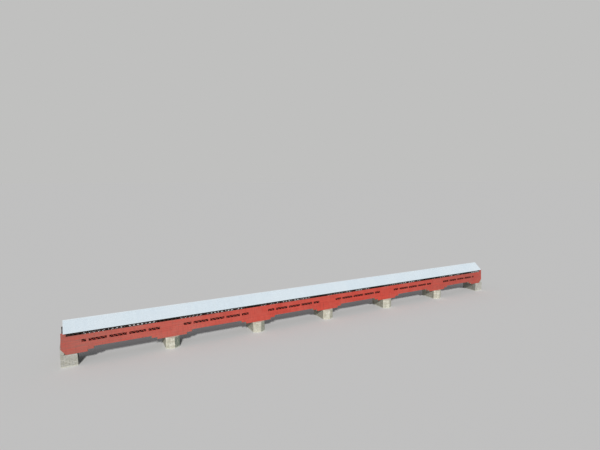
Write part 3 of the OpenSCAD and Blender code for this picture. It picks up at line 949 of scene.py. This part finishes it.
# %% Ridge cap
CAP_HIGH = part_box("ridge_cap")[1]
CAP_HALF = CAP_HIGH.y
CAP_LENGTHS = 50
CAP_METAL = 0.0007
CAP_BELOW_TOP = 0.0008
CAP_LAP = 0.006


def extruded(bm, ring, vector, tint):
    """A closed strip: a ring of points, filled and extruded along a vector."""
    verts = [bm.verts.new(point) for point in ring]
    face = bmesh.ops.contextual_create(bm, geom=verts)["faces"][0]
    face[bm.faces.layers.float["tint"]] = tint
    moved = bmesh.ops.extrude_face_region(bm, geom=[face])["geom"]
    ends = only(bmesh.types.BMVert, moved)
    bmesh.ops.translate(bm, verts=ends, vec=vector)
    for vert in ends:
        for near_face in vert.link_faces:
            near_face[bm.faces.layers.float["tint"]] = tint


bm = new_boards()
cap_step = 2 * ROOF_END / CAP_LENGTHS
drop = CAP_HALF * math.tan(ROOF_PITCH)
for length in range(CAP_LENGTHS):
    # Every second length lies on top of its neighbours
    lift = CAP_METAL * (length % 2)
    start = -ROOF_END + length * cap_step
    top = CAP_HIGH.z - CAP_BELOW_TOP + lift
    ring = [(start, 0, top), (start, CAP_HALF, top - drop),
            (start, CAP_HALF, top - drop - CAP_METAL), (start, 0, top - CAP_METAL),
            (start, -CAP_HALF, top - drop - CAP_METAL), (start, -CAP_HALF, top - drop)]
    lap = CAP_LAP if length < CAP_LENGTHS - 1 else 0.0
    extruded(bm, ring, Vector((cap_step + lap, 0, 0)), draw.random())
bmesh.ops.recalc_face_normals(bm, faces=bm.faces[:])
make_piece("ridge_cap_lengths", bm, ridge_paint, "ridge_metal", "ridge_cap")

# %% Verge trims
TRIM_TOP = 0.012
TRIM_DROP = 0.0045
TRIM_METAL = 0.0004
TRIM_HEAD = 0.001
TRIM_FOOT = 0.001

bm = new_boards()
for end in (1, -1):
    for side in (1, -1):
        head, fall, facing = slope_point(side, TRIM_HEAD, TRIM_METAL)
        edge = end * (ROOF_END + TRIM_METAL)
        corners = ((edge, 0.0), (edge - end * TRIM_TOP, 0.0),
                   (edge - end * TRIM_TOP, -TRIM_METAL), (edge - end * TRIM_METAL, -TRIM_METAL),
                   (edge - end * TRIM_METAL, -TRIM_DROP), (edge, -TRIM_DROP))
        ring = []
        for x, above in corners:
            place = head + facing * above
            place.x = x
            ring.append(place)
        extruded(bm, ring, fall * (SLOPE_LENGTH - TRIM_HEAD - TRIM_FOOT), tint=0.5)
bmesh.ops.recalc_face_normals(bm, faces=bm.faces[:])
make_piece("verge_trims", bm, ridge_paint, "ridge_metal")

# %% [markdown]
# ## Floor planks
# The road is planks laid across the bridge on the stringers, about 20 cm wide. Single planks
# with narrow gaps, none quite level with the next, catch the light at the portals as a real
# floor does.

# %% Floor planks
PLANK_PITCH = 0.0208
PLANK_GAP = 0.0008
PLANK_WEAR = 0.0005
PLANK_SHIFT = 0.001
floor_low, floor_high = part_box("floor_planks")
plank_count = round((floor_high.x - floor_low.x) / PLANK_PITCH)
plank_step = (floor_high.x - floor_low.x) / plank_count

bm = new_boards()
for plank in range(plank_count):
    worn = draw.uniform(0.0, PLANK_WEAR)
    thickness = floor_high.z - floor_low.z - worn
    middle = Vector((floor_low.x + (plank + 0.5) * plank_step,
                     draw.uniform(-PLANK_SHIFT, PLANK_SHIFT), floor_low.z + thickness / 2))
    add_board(bm, middle, UP, Vector((1, 0, 0)), floor_high.y - floor_low.y - 2 * PLANK_SHIFT,
              plank_step - PLANK_GAP, thickness, 0.0, draw.random())
make_piece("road_planks", bm, floor_timber, "floor_boards", "floor_planks")

# %% [markdown]
# ## Stonework
# Piers and abutments are courses of pale cut stone, under half a metre high. The stones could
# be separate blocks, but a corner stone has to turn the corner of a tapered nose. So the pier
# starts as one battered body, a little smaller than the CAD solid. Planes cut its skin into
# courses and stones, each stone is inset twice, once for the mortar and once for its own
# rounded edge, and its face is divided and pushed out unevenly, as split stone is. The
# material knows from the normal which way a face looks: the noses stay pale, the long sides
# under the deck are darker, partly with dirt and partly as painted shade, and what faces right
# is damp and grey green, most of all on the first pier.

# %% Stone by stone
RELIEF = 0.003
MORTAR_HALF = 0.0009
STONE_EDGE = 0.0022
STONE_PROUD = 0.0017
COURSES = 7
# How far a split face swells: the middle, the swing about it, and the most
SWELL = 0.0006
SWELL_SWING = 0.0009
SWELL_MOST = 0.0012
COARSE_LUMPS = 90
FINE_LUMPS = 220
# An upright face has a normal that rises less than this, and a top one that rises more
UPRIGHT_FACE = 0.5
TOP_FACE = 0.9
UPRIGHT_SHARE = 0.7
CORNER_ANGLE = 0.2
stone_draw = random.Random(5)


def cut_faces(bm, faces, point, facing):
    """Cuts only these faces along a plane, and leaves the rest joined to them."""
    parts = dict.fromkeys(part for face in faces for part in (*face.verts, *face.edges, face))
    bmesh.ops.bisect_plane(bm, geom=list(parts), dist=1e-6, plane_co=point, plane_no=facing)


def faces_between(bm, z_low, z_high):
    """The upright faces of one course."""
    return [face for face in bm.faces if abs(face.normal.z) < UPRIGHT_FACE
            and z_low < face.calc_center_median().z < z_high]


def joint_planes(xs, ys):
    """Planes for the upright joints, each as a point and the way that it faces."""
    return ([(Vector((0, y, 0)), Vector((0, 1, 0))) for y in ys]
            + [(Vector((x, 0, 0)), Vector((1, 0, 0))) for x in xs])


def stones_of(faces):
    """Groups faces into stones: two that meet at an upright corner are one stone."""
    left = dict.fromkeys(faces)
    stones = []
    while left:
        face = left.popitem()[0]
        stone = [face]
        for edge in face.edges:
            rise = abs(edge.verts[0].co.z - edge.verts[1].co.z)
            upright = rise >= UPRIGHT_SHARE * edge.calc_length()
            for other in edge.link_faces:
                if upright and other in left and other.normal.angle(face.normal) > CORNER_ANGLE:
                    left.pop(other)
                    stone.append(other)
        stones.append(stone)
    return stones


def carve_stone(bm, stone):
    """Mortar joint, rounded edge and uneven face of one stone."""
    tint_layer = bm.faces.layers.float["tint"]
    mortar_layer = bm.faces.layers.float["mortar"]
    tint = stone_draw.random()
    for face in stone:
        face[tint_layer] = tint
    mortar = bmesh.ops.inset_region(bm, faces=stone, thickness=MORTAR_HALF,
                                    use_even_offset=True, use_boundary=True)
    for face in mortar["faces"]:
        face[mortar_layer] = 1.0
    bmesh.ops.inset_region(bm, faces=stone, thickness=STONE_EDGE, depth=STONE_PROUD,
                           use_even_offset=True, use_boundary=True)
    edges = list(dict.fromkeys(edge for face in stone for edge in face.edges))
    facing = sum((face.normal for face in stone), Vector())
    facing.normalize()
    grown = bmesh.ops.subdivide_edges(bm, edges=edges, cuts=2, use_grid_fill=True)
    for vert in set(only(bmesh.types.BMVert, grown["geom_inner"])):
        rough = noise.noise(vert.co * COARSE_LUMPS) + 0.5 * noise.noise(vert.co * FINE_LUMPS)
        vert.co += facing * min(SWELL_MOST, max(0.0, SWELL + SWELL_SWING * rough))


def lay_stones(bm, z_low, z_high, courses, cuts_of_course):
    """Cuts a body into courses and stones. A cut is a point and the way its plane faces."""
    bm.faces.layers.float.new("tint")
    bm.faces.layers.float.new("mortar")
    bmesh.ops.recalc_face_normals(bm, faces=bm.faces[:])
    height = (z_high - z_low) / courses
    for course in range(1, courses):
        level = Vector((0, 0, z_low + course * height))
        cut_faces(bm, bm.faces[:], level, UP)
    for course in range(courses):
        low, high = z_low + course * height, z_low + (course + 1) * height
        for point, facing in cuts_of_course(course):
            bm.normal_update()
            cut_faces(bm, faces_between(bm, low, high), point, facing)
    tops = [face for face in bm.faces if face.normal.z > TOP_FACE]
    for point, facing in cuts_of_course(courses):
        cut_faces(bm, tops, point, facing)
        tops = [face for face in bm.faces if face.normal.z > TOP_FACE]
    bm.normal_update()
    sides = [face for face in bm.faces if abs(face.normal.z) < UPRIGHT_FACE]
    for stone in stones_of(sides) + [[face] for face in tops]:
        carve_stone(bm, stone)


# %% Stone material
# Darker long sides: old dirt, and painted shade under the deck
DIRT_AND_SIDE_SHADE = colour(112, 108, 94)
DAMP_GREEN = colour(98, 112, 101)
# The stone turns paler towards its foot
PALE_FOOT_TONE = colour(220, 219, 206)
DARK_MORTAR = colour(92, 89, 78)
SIDE_DARKENING_SHARE = 0.4
MORTAR_SHARE = 0.85
# The damp is full at the first x, and thins out to a share at the second
DAMP_FULL_X = -5.0
DAMP_THIN_X = 0.5
DAMP_THIN = 0.35
FOOT_SHARE = 0.6
FOOT_TOP = 0.03
FOOT_FULL = 0.012


def cut_stone(name, fresh, deep, faded):
    """Stone with a shade for each block, dark joints, dirt and painted shade on the long sides,
    damp and a pale foot.
    """
    material, tree, shader, place = new_material(name)
    grit = use_group(tree, grain_group, Vector=place, Length=0.004, Width=0.004)
    blotches = use_group(tree, patch_group, Vector=place, Size=0.03, Amount=0.6)
    patches = use_group(tree, patch_group, Vector=place, Size=0.12, Amount=0.6)
    runs = use_group(tree, runs_group, Vector=place, Width=0.022, Length=0.2, Amount=0.62)
    aged = use_group(tree, aged_group, Fresh=fresh, Deep=deep, Faded=faded,
                     Stain=colour(130, 128, 112), Tint=read_attribute(tree, "tint"),
                     Patches=patches, Runs=runs)
    shade = mixed(tree, blotches, aged, colour(176, 173, 155))
    to_right = axes_of(tree, read_normal(tree))[0]
    # The long sides under the deck are darkened, partly dirt and partly painted shade
    side_shade_and_dirt = rescaled(tree, unsigned(tree, to_right), 0.7, 0.9, 0.0, SIDE_DARKENING_SHARE)
    shade = mixed(tree, side_shade_and_dirt, shade, DIRT_AND_SIDE_SHADE)
    parts = axes_of(tree, place)
    away = rescaled(tree, to_right, 0.2, 0.4)
    thinning = rescaled(tree, parts[0], DAMP_FULL_X, DAMP_THIN_X, 1.0, DAMP_THIN)
    spots = use_group(tree, patch_group, Vector=place, Size=0.05, Amount=1.0)
    dense = rescaled(tree, spots, 0.0, 0.6, 0.75, 1.0)
    damp = product(tree, product(tree, away, thinning), dense)
    shade = mixed(tree, damp, shade, DAMP_GREEN)
    foot = rescaled(tree, parts[2], FOOT_FULL, FOOT_TOP, FOOT_SHARE, 0.0)
    shade = mixed(tree, foot, shade, PALE_FOOT_TONE)
    shade = use_group(tree, hollow_group, Shade=shade, Relief=grit, Share=0.26,
                      Tone=colour(130, 127, 111))
    mortar = product(tree, read_attribute(tree, "mortar"), MORTAR_SHARE)
    shade = mixed(tree, mortar, shade, DARK_MORTAR)
    finish_surface(tree, shader, shade, grit, roughness=(0.95, 0.8), gloss=0.2, depth=0.0009)
    return material


pier_stone = cut_stone("cut_pale_stone", colour(226, 224, 208), colour(188, 185, 167),
                       colour(230, 229, 216))
abutment_stone = cut_stone("cut_grey_stone", colour(188, 188, 183), colour(160, 159, 152),
                           colour(194, 194, 190))
print("made", pier_stone.name, "and", abutment_stone.name)

# %% Piers
NOSE = 0.083
FRONT_HALF = 0.037
FOOT_GROWS = 0.008
# Joints on the noses of even and odd courses, as a share of half the width
NOSE_JOINTS = (0.62, 0.42)
STONES_ALONG = 5.5
JOINT_TO_CORNER = 0.04


def pier_plan(x, half_w, tip, grow, z):
    """The eight corners of a pier at one level, tapered to a blunt nose at both ends."""
    corners = ((half_w, NOSE - tip), (FRONT_HALF, -tip), (-FRONT_HALF, -tip),
               (-half_w, NOSE - tip), (-half_w, tip - NOSE), (-FRONT_HALF, tip),
               (FRONT_HALF, tip), (half_w, tip - NOSE))
    return [Vector((x + a + math.copysign(grow, a), b + math.copysign(grow, b), z))
            for a, b in corners]


def battered_body(bm, foot, head):
    """A body between two rings of corners: two loops, bridged, and closed at both ends."""
    loops = []
    for ring in (foot, head):
        verts = [bm.verts.new(point) for point in ring]
        pairs = zip(verts, verts[1:] + verts[:1])
        loops.append([bm.edges.new(pair) for pair in pairs])
    bmesh.ops.bridge_loops(bm, edges=loops[0] + loops[1])
    for loop in loops:
        bmesh.ops.contextual_create(bm, geom=loop)
    bmesh.ops.recalc_face_normals(bm, faces=bm.faces[:])


def pier_cuts(x, half_w, half_l):
    """Where the stones of each course meet, on the long faces and on the noses."""
    def cuts(course):
        shift = 0.0 if course % 2 else 0.5
        ys = [half_l * (2 * (k + shift) / STONES_ALONG - 1) for k in range(6)]
        ys = [y for y in ys if abs(y) < half_l - JOINT_TO_CORNER]
        across = half_w * NOSE_JOINTS[course % 2]
        return joint_planes([x - across, x + across], ys)
    return cuts


for number in range(1, 6):
    node_name = "pier_" + str(number)
    low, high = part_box(node_name)
    x = (low.x + high.x) / 2
    half_w = (high.x - low.x) / 2 - FOOT_GROWS
    tip = high.y - FOOT_GROWS
    bm = bmesh.new()
    battered_body(bm, pier_plan(x, half_w, tip, FOOT_GROWS - RELIEF, low.z),
                  pier_plan(x, half_w, tip, -RELIEF, high.z - STONE_PROUD))
    lay_stones(bm, low.z, high.z, COURSES, pier_cuts(x, half_w, tip - NOSE))
    make_piece(node_name + "_stones", bm, pier_stone, "masonry", node_name)

# %% [markdown]
# ## Abutments
# Each end of the bridge rests on a seat of greyer stone, with a wall behind it that holds up
# the end of the floor. They are two plain bodies cut into the same courses as the piers. Their
# backs are hidden in the photograph, and repeat the front plainly.

# %% Abutments
SEAT_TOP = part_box("pier_1")[1].z
CLEARANCE = 0.003
BACKWALL_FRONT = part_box("gables")[1].x + CLEARANCE
BACKWALL_HALF = SIDING_IN - CLEARANCE
BACKWALL_COURSES = 4
STONES_WIDE = 5
STONES_DEEP = 3
SHORTEST_STONE = 0.03


def abutment_cuts(x_low, x_high, half_width):
    """Staggered joints on the long faces and on the sides of an abutment."""
    def cuts(course):
        shift = 0.5 if course % 2 else 0.0
        ys = [half_width * (2 * (k + shift) / STONES_WIDE - 1) for k in range(STONES_WIDE + 1)]
        ys = [y for y in ys if abs(y) < half_width - SHORTEST_STONE]
        xs = [x_low + (x_high - x_low) * (k + shift) / STONES_DEEP
              for k in range(STONES_DEEP + 1)]
        xs = [x for x in xs if x_low + SHORTEST_STONE < x < x_high - SHORTEST_STONE]
        return joint_planes(xs, ys)
    return cuts


def box_ring(x_low, x_high, half_width, z):
    """Four corners of a level rectangle."""
    return [Vector(point) for point in ((x_low, -half_width, z), (x_high, -half_width, z),
                                        (x_high, half_width, z), (x_low, half_width, z))]


for node_name, end in (("left_abutment", -1), ("right_abutment", 1)):
    low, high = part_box(node_name)
    front, back = (low.x, high.x) if end > 0 else (high.x, low.x)
    half_width = high.y - RELIEF
    seat = bmesh.new()
    foot_xs = sorted((front + end * RELIEF, back - end * RELIEF))
    head_xs = sorted((front + end * (FOOT_GROWS + RELIEF), back - end * RELIEF))
    battered_body(seat, box_ring(*foot_xs, half_width, low.z),
                  box_ring(*head_xs, half_width, SEAT_TOP - STONE_PROUD))
    lay_stones(seat, low.z, SEAT_TOP, COURSES, abutment_cuts(*foot_xs, half_width))
    wall = bmesh.new()
    wall_xs = sorted((end * (BACKWALL_FRONT + RELIEF), back - end * RELIEF))
    wall_half = BACKWALL_HALF - RELIEF
    battered_body(wall, box_ring(*wall_xs, wall_half, SEAT_TOP - STONE_PROUD),
                  box_ring(*wall_xs, wall_half, high.z - STONE_PROUD))
    lay_stones(wall, SEAT_TOP, high.z, BACKWALL_COURSES, abutment_cuts(*wall_xs, wall_half))
    pour_into(seat, wall)
    make_piece(node_name + "_stones", seat, abutment_stone, "masonry", node_name)
